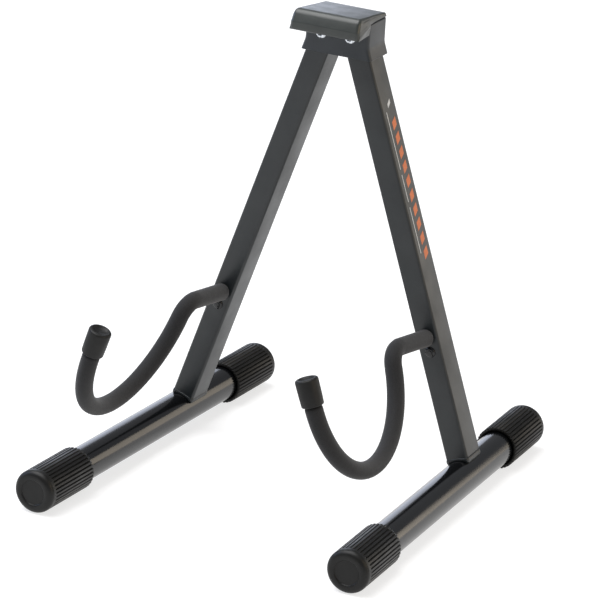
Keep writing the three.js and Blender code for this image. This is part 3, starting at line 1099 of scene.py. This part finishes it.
@dataclass
class Arm:
    """One cradle arm: a bent rod in a foam sleeve with a rubber tip, lying in its leg's plane."""

    frame: dict
    space: Space
    front_y: float
    root: float = 105.7 * MM
    rise: float = 9.1
    reach: float = 45.9 * MM
    shoulder_radius: float = 12.6 * MM
    shoulder_angle: float = 88.5
    hook_radius: float = 63.4 * MM
    hook_angle: float = 169.2
    tip_straight: float = 21.0 * MM
    tip_length: float = 19.5 * MM
    sleeve_radius: float = 6.35 * MM
    sleeve_start: float = 0.5 * MM
    sides: int = 40
    row_spacing: float = 2.0 * MM
    end_spacing: float = 0.1 * MM
    bend_squeeze: float = 0.9 * MM
    sleeve_edge: float = 2.2 * MM
    sleeve_edge_rows: int = 6
    sleeve_mouth_share: float = 0.66
    sleeve_smooth_angle: float = 60.0
    tip_gap: float = 0.2 * MM
    tip_radius: float = 8.2 * MM
    tip_sides: int = 56
    tip_rim: float = 1.7 * MM
    tip_rim_rows: int = 9
    tip_rim_turn: float = 140.0
    tip_slack: float = 0.1 * MM
    tip_mouth_depth: float = 0.3 * MM
    tip_foot: float = 1.2 * MM
    tip_foot_round: float = 1.0 * MM
    tip_foot_inset: float = 1.3 * MM
    tip_foot_rows: int = 5
    tip_waist_share: float = 0.4
    tip_dish_run: float = 2.2 * MM
    tip_dish_edge: float = 1.2 * MM
    tip_dish_depth: float = 1.35 * MM

    def build(self) -> None:
        """Builds the sleeve and the tip, and dresses the rod inside them."""
        dress_node(self.frame, f"{self.space.side.word}_arm_rod", DRAWN_STEEL)
        self.build_sleeve()
        self.build_tip()

    def centre_line(self) -> list[Row]:
        """Point, direction and curvature along the arm, from the leg's face to the tip's end.

        Returns:
            One row for each point.
        """
        stretches = [
            (self.reach, 0.0),
            (self.shoulder_radius * math.radians(self.shoulder_angle), self.shoulder_angle),
            (self.hook_radius * math.radians(self.hook_angle), -self.hook_angle),
            (self.tip_straight, 0.0),
        ]
        heading = math.pi - math.radians(self.rise)
        point = Vector((0, self.front_y, self.root))
        rows = [(point.copy(), self.direction(heading), 0.0)]
        for length, turn in stretches:
            steps = max(round(length / self.row_spacing), 1)
            for _ in range(steps):
                half = math.radians(turn) / steps / 2
                heading += half
                chord = length / steps * (math.sin(half) / half if half else 1.0)
                point = point + self.direction(heading) * chord
                heading += half
                rows.append((point.copy(), self.direction(heading), math.radians(turn) / length))
        return rows

    def direction(self, heading: float) -> Vector:
        """Unit vector in the leg's plane, heading measured from +Y towards +Z."""
        return Vector((0, math.cos(heading), math.sin(heading)))

    def cut_line(self, start: float, end: float) -> list[Row]:
        """The centre line without its first and last stretch.

        Args:
            start: Length left out at the leg.
            end: Length left out at the tip.

        Returns:
            The rows that are left, with one exactly at each new end.
        """
        rows = self.centre_line()
        total = sum((b[0] - a[0]).length for a, b in zip(rows, rows[1:]))
        kept = []
        travelled = 0.0
        for index, row in enumerate(rows):
            if index:
                travelled += (row[0] - rows[index - 1][0]).length
            if start <= travelled <= total - end:
                kept.append(row)
        first = (rows[0][0] + rows[0][1] * start, rows[0][1], 0.0)
        last = (rows[-1][0] - rows[-1][1] * end, rows[-1][1], 0.0)
        kept = [row for row in kept if (row[0] - first[0]).length > self.end_spacing]
        return [first, *kept, last]

    def section(self, row: Row, radius: float, along: float) -> Loop:
        """One ring of the sleeve, pushed along its direction by along.

        Args:
            row: Point, direction and curvature of the centre line.
            radius: Radius of the ring.
            along: How far it is pushed along the row's direction.

        Returns:
            The ring's points.
        """
        middle, direction, bend = row
        sideways = Vector((1, 0, 0))
        up = sideways.cross(direction).normalized()
        squeeze = 1 - self.bend_squeeze * abs(bend)
        loop = []
        for side in range(self.sides):
            angle = FULL_TURN * side / self.sides
            offset = sideways * math.cos(angle) + up * (math.sin(angle) * squeeze)
            loop.append(middle + direction * along + offset * radius)
        return loop

    def build_sleeve(self) -> None:
        """Builds the foam sleeve, with its cut ends rounded over."""
        rows = self.cut_line(self.sleeve_start, self.tip_length + self.tip_gap)
        first, last = rows[0], rows[-1]
        radius, edge, steps = self.sleeve_radius, self.sleeve_edge, self.sleeve_edge_rows
        mouth = radius * self.sleeve_mouth_share
        centre = (0, radius - edge)
        loops = [self.section(first, mouth, 0.0)]
        loops += [self.section(first, r, edge + a) for a, r in arc(centre, edge, 180, 90, steps)]
        body = [row for row in rows[1:-1] if (row[0] - first[0]).length > edge]
        body = [row for row in body if (row[0] - last[0]).length > edge]
        loops += [self.section(row, radius, 0.0) for row in body]
        loops += [self.section(last, r, a - edge) for a, r in arc(centre, edge, 90, 0, steps)]
        loops.append(self.section(last, mouth, 0.0))
        word = self.space.side.word
        smooth = self.sleeve_smooth_angle
        piece = make_object(f"{word}_arm_foam", loops, SLEEVE_FOAM, smooth_angle=smooth)
        self.space.mount(piece, "sleeve_foam", f"{word}_arm_sleeve")

    def build_tip(self) -> None:
        """Builds the fatter rubber tip with a rolled rim and a dished top."""
        radius, length, rim = self.tip_radius, self.tip_length, self.tip_rim
        inner = self.sleeve_radius * self.sleeve_mouth_share
        foot = self.tip_foot_round
        foot_centre = (radius - self.tip_foot_inset, foot)
        profile = [(inner, self.tip_mouth_depth), (radius - self.tip_foot, 0.0)]
        profile += arc(foot_centre, foot, -80, 0, self.tip_foot_rows)
        profile += [(radius - self.tip_slack, length * self.tip_waist_share)]
        rim_centre = (radius - rim, length - rim)
        profile += arc(rim_centre, rim, 0, self.tip_rim_turn, self.tip_rim_rows)
        profile += [(radius - rim - self.tip_dish_run, length - self.tip_dish_edge)]
        profile += [(0.0, length - self.tip_dish_depth)]
        word = self.space.side.word
        piece = turned(f"{word}_arm_tip_dished", profile, TIP_RUBBER, self.tip_sides)
        point, direction, _ = self.centre_line()[-1]
        turn = Vector((0, 1, 0)).rotation_difference(direction).to_matrix().to_4x4()
        place(piece, Matrix.Translation(point - direction * length) @ turn)
        self.space.mount(piece, "tip_rubber", f"{word}_arm_tip")


# ------------------------------------------------------------------ head


@dataclass
class HeadBracket:
    """The bent sheet bracket that holds both legs, flared out at the bottom of its side plates."""

    frame: dict
    sheet: float = 1.5 * MM
    bend_radius: float = 3.0 * MM
    smallest_bend: float = 0.6 * MM
    bend_steps: int = 8
    fold_radius: float = 2.2 * MM
    fold_steps: int = 4
    kink_height: float = 320.3 * MM
    top_edge: float = 1.0 * MM
    top_edge_steps: int = 5
    top_inset: float = 6.0 * MM
    cut_edge: float = 0.25 * MM
    low: Vector = field(init=False)
    high: Vector = field(init=False)

    def build(self) -> None:
        """Builds the bracket as one skin: outside, top edge, bottom edge and inside."""
        self.low, self.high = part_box("head_bracket")
        bottom, top, sheet, edge = self.low.z, self.high.z, self.sheet, self.cut_edge
        soft, steps = self.fold_radius, self.fold_steps
        heights = [bottom + edge, self.kink_height - soft]
        heights += [self.kink_height + soft * s / steps for s in range(1 - steps, steps + 1)]
        corner = (self.top_edge, top - self.top_edge)
        loops = [self.plan(self.top_inset, top)]
        for inset, height in arc(corner, self.top_edge, 90, 180, self.top_edge_steps):
            loops.append(self.plan(inset, height))
        loops += [self.plan(0, height) for height in reversed(heights)]
        loops += [self.plan(edge, bottom), self.plan(sheet - edge, bottom)]
        loops += [self.plan(sheet, height) for height in heights]
        loops += [self.plan(sheet, top - sheet), self.plan(self.top_inset, top - sheet)]
        piece = make_object("head_bracket_coated", loops, HEAD_BLACK)
        settle(piece, "head", "bracket_paint", "head_bracket")

    @property
    def upper_half_width(self) -> float:
        """Half the bracket's width above the kink, read from its topmost points."""
        vertices = self.frame["nodes"]["head_bracket"].data.vertices
        upper = self.high.z - self.sheet / 2
        return max(vertex.co.x for vertex in vertices if vertex.co.z > upper)

    def flare(self, height: float) -> float:
        """How far the side plates stand out at a height, with a soft fold at the kink.

        Args:
            height: Height above the floor.

        Returns:
            The distance that each plate stands out.
        """
        slope = (self.high.x - self.upper_half_width) / (self.kink_height - self.low.z)
        below = self.kink_height - height
        soft = self.fold_radius
        if below <= -soft:
            return 0.0
        if below >= soft:
            return slope * below
        return slope * (below + soft) ** 2 / (4 * soft)

    def plan(self, inset: float, height: float) -> Loop:
        """The bracket's cross-section at a height, drawn in by inset.

        Args:
            inset: Distance inside the bracket's outer face.
            height: Height above the floor.

        Returns:
            The cross-section's points.
        """
        half_depth = (self.high.y - self.low.y) / 2 - inset
        middle = (self.high.y + self.low.y) / 2
        radius = max(self.bend_radius - inset, self.smallest_bend)
        half_width = self.upper_half_width - inset
        plan = rounded_plan(half_width, half_depth, radius, self.bend_steps)
        flare = self.flare(height)
        return [Vector((x + math.copysign(flare, x), y + middle, height)) for x, y in plan]


@dataclass
class Pivot:
    """The hardware of one pivot: domed bolt, lock nut, nylon washers and steel bush."""

    frame: dict
    space: Space
    head_share: float = 0.88
    head_height: float = 3.3 * MM
    head_rim: float = 0.2 * MM
    head_rim_edge: float = 0.05 * MM
    head_under_edge: float = 0.1 * MM
    dome_rows: int = 13
    socket: float = 2.0 * MM
    socket_rim_share: float = 1.25
    socket_depth: float = 1.8 * MM
    socket_edge: float = 0.1 * MM
    bolt_sides: int = 72
    bolt_smooth_angle: float = 40.0
    shank: float = 3.0 * MM
    thread_pitch: float = 1.0 * MM
    thread_depth: float = 0.35 * MM
    threads: int = 8
    shank_chamfer: float = 0.6 * MM
    nut_sides: int = 96
    nut_smooth_angle: float = 28.0
    nut_bore: float = 3.3 * MM
    nut_body_share: float = 0.72
    nut_front_chamfer: float = 0.4 * MM
    nut_rear_chamfer: float = 0.5 * MM
    collar_share: float = 0.86
    collar_foot: float = 0.05 * MM
    collar_round: float = 0.6 * MM
    collar_lip: float = 0.5 * MM
    collar_lip_depth: float = 0.4 * MM

    def build(self) -> None:
        """Builds the bolt and the nut, and dresses the small pieces inside."""
        word = self.space.side.word
        self.build_bolt(f"{word}_pivot_bolt")
        self.build_nut(f"{word}_pivot_nut")
        dress_node(self.frame, f"{word}_front_washer", NYLON)
        dress_node(self.frame, f"{word}_rear_washer", NYLON)
        dress_node(self.frame, f"{word}_pivot_bush", DRAWN_STEEL)

    def hexagon(self, half_flats: float, angle: float) -> float:
        """Distance from the middle of a hexagon to its outline at an angle.

        Args:
            half_flats: Distance from the middle to a flat side.
            angle: The angle, in radians.

        Returns:
            The distance.
        """
        sector = math.pi / 3
        return half_flats / math.cos((angle % sector) - sector / 2)

    def build_bolt(self, node: str) -> None:
        """Builds the domed bolt with a hexagon socket in its head.

        Args:
            node: Name of the bolt's CAD node.
        """
        low, high = self.space.bounds(self.frame, node)
        head = (high.x - low.x) / 2 * self.head_share
        seat = low.y + self.head_height
        height = seat - low.y
        sides = self.bolt_sides
        socket = self.socket
        rim = socket * self.socket_rim_share
        face = low.y + height * (1 - math.sqrt(1 - (rim / head) ** 2))
        bottom = face + self.socket_depth

        def widen(angle: float) -> float:
            """How much the socket's hexagon is wider than its inner circle."""
            return self.hexagon(socket, angle) - socket

        loops = [ring(0, bottom, sides), ring(socket, bottom, sides, widen)]
        loops.append(ring(socket, face + self.socket_edge, sides, widen))
        for step in range(self.dome_rows + 1):
            reach = rim + (head - rim) * math.sin(step / self.dome_rows * math.pi / 2)
            crown = math.sqrt(max(1 - (reach / head) ** 2, 0.0))
            y = seat - self.head_rim - (height - self.head_rim) * crown
            loops.append(ring(reach, y, sides))
        loops.append(ring(head, seat - self.head_rim_edge, sides))
        loops.append(ring(head - self.head_under_edge, seat, sides))
        loops += [ring(self.shank, seat, sides), *self.thread(high.y, sides)]
        smooth = self.bolt_smooth_angle
        piece = make_object(f"{node}_domed", loops, ZINC_STEEL, smooth_angle=smooth)
        place(piece, self.space.matrix)
        settle(piece, "head", "bright_steel", node)

    def thread(self, end: float, sides: int) -> list[Loop]:
        """Rings of a short thread with a chamfered tip.

        Args:
            end: Where the shank ends, along the bolt.
            sides: Number of points in each ring.

        Returns:
            The rings, from the shank to the tip.
        """
        first = end - self.threads * self.thread_pitch
        loops = [ring(self.shank, first, sides)]
        for turn in range(self.threads - 1):
            y = first + turn * self.thread_pitch
            root = self.shank - self.thread_depth
            loops.append(ring(root, y + self.thread_pitch / 2, sides))
            loops.append(ring(self.shank, y + self.thread_pitch, sides))
        loops.append(ring(self.shank - self.shank_chamfer, end, sides))
        return loops

    def build_nut(self, node: str) -> None:
        """Builds the lock nut: a chamfered hexagon with a round collar over its insert.

        Args:
            node: Name of the nut's CAD node.
        """
        low, high = self.space.bounds(self.frame, node)
        across, up = high.x - low.x, high.z - low.z
        flats = min(across, up) / 2
        corner = flats / math.cos(math.pi / 6)
        turn = 0.0 if across < up else math.pi / 6
        sides = self.nut_sides
        shoulder = low.y + (high.y - low.y) * self.nut_body_share
        bore = self.nut_bore
        front, rear = low.y + self.nut_front_chamfer, shoulder - self.nut_rear_chamfer
        loops = [ring(bore, low.y, sides), ring(flats, low.y, sides)]
        for y, cone in ((front, corner), (rear, corner), (shoulder, flats)):
            loops.append(self.clipped_hexagon(flats, cone, y, turn))
        collar = flats * self.collar_share
        loops.append(ring(collar, shoulder + self.collar_foot, sides))
        loops.append(ring(collar, high.y - self.collar_round, sides))
        loops.append(ring(collar - self.collar_round, high.y, sides))
        loops.append(ring(bore + self.collar_lip, high.y, sides))
        loops.append(ring(bore, high.y - self.collar_lip_depth, sides))
        name, smooth = f"{node}_hexagon", self.nut_smooth_angle
        piece = make_object(name, loops, ZINC_STEEL, closed_rows=True, smooth_angle=smooth)
        place(piece, self.space.matrix)
        settle(piece, "head", "bright_steel", node)

    def clipped_hexagon(self, flats: float, cone: float, y: float, turn: float) -> Loop:
        """A hexagon whose corners are cut off at a radius, as the chamfer does.

        Args:
            flats: Distance from the middle to a flat side.
            cone: Radius at which the corners are cut off.
            y: Place along the bolt.
            turn: Angle that the hexagon is turned by, in radians.

        Returns:
            The outline's points.
        """

        def reach(angle: float) -> float:
            """How far the outline stands off the inner circle."""
            return min(self.hexagon(flats, angle + turn + math.pi / 6), cone) - flats

        return ring(flats, y, self.nut_sides, reach)


@dataclass
class HeadPad:
    """The rubber block over the bracket that the guitar leans on."""

    frame: dict
    bracket: HeadBracket
    lip_height: float = 6.2 * MM
    slope_run: float = 4.6 * MM
    top_slope: float = 6.6
    lip_round: float = 1.6 * MM
    top_front_round: float = 5.6 * MM
    back_round: float = 1.6 * MM
    end_round_front: float = 3.2 * MM
    end_round_back: float = 1.3 * MM
    end_round_seat: float = 0.25 * MM
    taper: float = 0.8 * MM
    rear_taper: float = 2.5 * MM
    rear_run: float = 32.0 * MM
    seat_gap: float = 0.3 * MM
    lip_clearance: float = 1.0 * MM
    front_gap: float = 0.3 * MM
    back_rise: float = 3.1 * MM
    lip_lean: float = 0.15 * MM
    crease_round: float = 1.5 * MM
    step_round: float = 0.4 * MM
    outline_step: float = 3.0 * MM
    end_rows: int = 7
    end_face_shares: Sequence[float] = (0.55, 0.8)
    smooth_angle: float = 50.0
    low: Vector = field(init=False)
    high: Vector = field(init=False)
    seat: float = field(init=False)
    lip_bottom: float = field(init=False)

    def build(self) -> None:
        """Skins the pad from one rounded end to the other."""
        self.low, self.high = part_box("head_pad")
        self.seat = self.bracket.high.z + self.seat_gap
        in_front = self.bracket.low.y - self.lip_clearance
        vertices = self.frame["nodes"]["head_pad"].data.vertices
        self.lip_bottom = min(vertex.co.z for vertex in vertices if vertex.co.y < in_front)
        outline = self.outline()
        normals = outline_normals(outline)
        half = (self.high.x - self.low.x) / 2
        stations = [(0.0, share) for share in self.end_face_shares]
        stations += [(90 * step / self.end_rows, 1.0) for step in range(self.end_rows + 1)]
        loops = []
        for end, order in ((-half, stations), (half, stations[::-1])):
            for angle, spread in order:
                loops.append(self.station(outline, normals, end, math.radians(angle), spread))
        piece = make_object("head_pad_moulded", loops, PAD_RUBBER, smooth_angle=self.smooth_angle)
        settle(piece, "head", "pad_rubber", "head_pad")

    def station(
        self,
        outline: Sequence[Point],
        normals: Sequence[Point],
        end: float,
        angle: float,
        spread: float,
    ) -> Loop:
        """One cross-section near an end, drawn in as the end rounds over.

        Args:
            outline: The pad's side outline as (y, z) points.
            normals: Outward direction at each outline point.
            end: Where the end face is, along X.
            angle: 0 at the flat end face, a quarter turn where the rounding meets the body.
            spread: Share of the end face kept, for the rings inside it.

        Returns:
            The cross-section's points.
        """
        middle = Vector((0, (self.low.y + self.high.y) / 2, (self.seat + self.high.z) / 2))
        height = self.high.z - self.lip_bottom
        side = math.copysign(1, end)
        loop = []
        for (y, z), (normal_y, normal_z) in zip(outline, normals):
            front = min(max((middle.y - y) / (middle.y - self.low.y), 0.0), 1.0)
            radius = self.end_round_back + (self.end_round_front - self.end_round_back) * front
            on_seat = z < self.seat + OUTLINE_GAP and normal_y > -0.5
            radius = self.end_round_seat if on_seat else radius
            inset = radius * (1 - math.sin(angle))
            lean_in = self.taper * max(z - self.lip_bottom, 0.0) / height
            lean_in += self.rear_taper * min((y - self.low.y) / self.rear_run, 1.0)
            x = end - side * (radius * (1 - math.cos(angle)) + lean_in)
            point = Vector((x, y - normal_y * inset, z - normal_z * inset))
            if spread < 1:
                point.y = middle.y + (point.y - middle.y) * spread
                point.z = middle.z + (point.z - middle.z) * spread
            loop.append(point)
        return loop

    def outline(self) -> list[tuple[float, float]]:
        """The pad's side outline as (y, z) points, anticlockwise seen from +X."""
        back, front = self.high.y, self.low.y
        lip = self.lip_bottom
        step_y = self.bracket.low.y - self.front_gap
        corner_y = front + self.slope_run
        rise = math.tan(math.radians(self.top_slope))
        back_top = self.bracket.high.z + self.back_rise
        front_top = back_top + (back - corner_y) * rise
        crease = lip + self.lip_height
        corners = [
            (back, self.seat, 0.0),
            (back, back_top, self.back_round),
            (corner_y, front_top, self.top_front_round),
            (front + self.lip_lean, crease, self.crease_round),
            (front, lip, self.lip_round),
            (step_y, lip, self.step_round),
            (step_y, self.seat, 0.0),
        ]
        return fine_outline(corners, self.outline_step)


def fine_outline(corners: Sequence[Point], step: float, parts: int = 8) -> Outline:
    """Rounds the corners of an outline and divides its long sides.

    Args:
        corners: (x, y, radius) of each corner, in order round the outline.
        step: Longest distance left between two points.
        parts: Number of stretches in each rounded corner.

    Returns:
        The outline's points.
    """
    rounded: list[Vector] = []
    for index, (x, y, radius) in enumerate(corners):
        corner = Vector((x, y))
        if radius <= 0:
            rounded.append(corner)
            continue
        before = (Vector(corners[index - 1][:2]) - corner).normalized()
        after = (Vector(corners[(index + 1) % len(corners)][:2]) - corner).normalized()
        half = before.angle(after) / 2
        centre = corner + (before + after).normalized() * (radius / math.sin(half))
        first = corner + before * (radius / math.tan(half)) - centre
        last = corner + after * (radius / math.tan(half)) - centre
        for part in range(parts + 1):
            rounded.append(centre + first.slerp(last, part / parts).normalized() * radius)
    points: Outline = []
    for index, point in enumerate(rounded):
        after_point = rounded[(index + 1) % len(rounded)]
        steps = max(math.ceil((after_point - point).length / step), 1)
        points += [tuple(point.lerp(after_point, part / steps)) for part in range(steps)]
    return without_repeats(points)


def without_repeats(points: Sequence[Point]) -> Outline:
    """Leaves out points that lie on the one before.

    Args:
        points: Points of an outline.

    Returns:
        The points that are kept.
    """
    kept: Outline = []
    for point in points:
        if not kept or math.dist(point, kept[-1]) > OUTLINE_GAP:
            kept.append((point[0], point[1]))
    return kept


def outline_normals(outline: Sequence[Point]) -> Outline:
    """Outward direction at each point of an anticlockwise outline.

    Args:
        outline: The outline's points.

    Returns:
        One unit direction for each point.
    """
    normals = []
    for index, _ in enumerate(outline):
        before = outline[index - 1]
        after = outline[(index + 1) % len(outline)]
        dy, dz = after[0] - before[0], after[1] - before[1]
        length = math.hypot(dy, dz)
        normals.append((dz / length, -dy / length))
    return normals


# ------------------------------------------------------------------ studio


@dataclass(frozen=True)
class Softbox:
    """One square softbox: its place and side in metres, power in watts and sRGB colour."""

    name: str
    where: Point
    size: float
    power: float
    colour: str

    def hang(self, aim: Vector) -> None:
        """Hangs the softbox in its place, facing the aim.

        Args:
            aim: The point that it faces.
        """
        lamp = bpy.data.lights.new(self.name, "AREA")
        lamp.size = self.size
        lamp.energy = self.power
        lamp.color = linear_colour(self.colour)[:3]
        light = bpy.data.objects.new(self.name, lamp)
        light.location = self.where
        towards = aim - Vector(self.where)
        light.rotation_euler = towards.to_track_quat("-Z", "Y").to_euler()
        bpy.context.scene.collection.objects.link(light)


@dataclass
class Studio:
    """Plain pale floor, soft lights and the camera."""

    azimuth: float = 26.106
    elevation: float = 20.104
    roll: float = 3.214
    distance: float = 2.950
    aim: Point = (0.0072, -0.0178, 0.1449)
    focal_mm: float = 250.92
    sensor_mm: float = 36.0
    floor_size: float = 14.0
    floor_drop: float = 0.2 * MM
    surround: str = "#F5F8FF"
    surround_strength: float = 0.36
    softboxes: Sequence[Softbox] = (
        Softbox("overhead_softbox", (-0.7, -0.3, 2.5), 2.4, 92, "#FFFFFF"),
        Softbox("left_softbox", (-2.2, -0.3, 1.0), 1.0, 12, "#BFD4FF"),
        Softbox("rear_left_softbox", (-1.9, 2.6, 0.75), 1.5, 13, "#E4ECFF"),
        Softbox("rear_right_softbox", (2.1, 2.5, 0.6), 1.3, 13, "#FFF1DC"),
        Softbox("right_softbox", (2.3, -0.2, 1.1), 1.2, 14, "#FFE6BC"),
    )

    def build(self) -> None:
        """Builds the floor, the world, the lights and the camera."""
        self.build_floor()
        self.build_world()
        for softbox in self.softboxes:
            softbox.hang(Vector(self.aim))
        self.build_camera()

    def build_floor(self) -> None:
        """Lays a sheet of opal acrylic on the ground, just clear of the caps."""
        half = self.floor_size / 2
        square = ((-half, -half), (half, -half), (half, half), (-half, half))
        corners = [Vector((x, y, -self.floor_drop)) for x, y in square]
        floor = mesh_object("studio_floor", corners, [(0, 1, 2, 3)], OPAL_SHEET)

    def build_world(self) -> None:
        """Surrounds the stand with even, nearly white light, shown in plain display colours."""
        world = bpy.data.worlds.new("studio_surround")
        world.use_nodes = True
        background = world.node_tree.nodes["Background"]
        background.inputs["Color"].default_value = linear_colour(self.surround)
        background.inputs["Strength"].default_value = self.surround_strength
        bpy.context.scene.world = world
        bpy.context.scene.view_settings.view_transform = "Standard"

    def build_camera(self) -> None:
        """Stands the camera in front, to the right and above, tilted about its own axis."""
        data = bpy.data.cameras.new("studio_camera")
        data.lens = self.focal_mm
        data.sensor_width = self.sensor_mm
        camera = bpy.data.objects.new("studio_camera", data)
        turn = math.radians(self.azimuth)
        lift = math.radians(self.elevation)
        level_share = math.cos(lift)
        back = Vector(
            (math.sin(turn) * level_share, -math.cos(turn) * level_share, math.sin(lift))
        )
        camera.location = Vector(self.aim) + back * self.distance
        level = back.to_track_quat("Z", "Y").to_matrix().to_4x4()
        tilt = Matrix.Rotation(math.radians(self.roll), 4, "Z")
        camera.rotation_euler = (level @ tilt).to_euler()
        bpy.context.scene.collection.objects.link(camera)
        bpy.context.scene.camera = camera


def main() -> None:
    """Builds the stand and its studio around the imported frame."""
    logging.basicConfig(level=logging.INFO, format="%(name)s: %(message)s")
    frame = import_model()
    Studio().build()
    bracket = HeadBracket(frame)
    bracket.build()
    HeadPad(frame, bracket).build()
    for side in Side:
        hinge = Hinge.read(frame, side)
        Pivot(frame, hinge.pivot_space).build()
        Foot(frame, hinge.foot_space).build()
        leg = Leg(frame, hinge.leg_space)
        leg.build()
        Arm(frame, hinge.leg_space, front_y=leg.low.y).build()


if __name__ == "__main__":
    main()
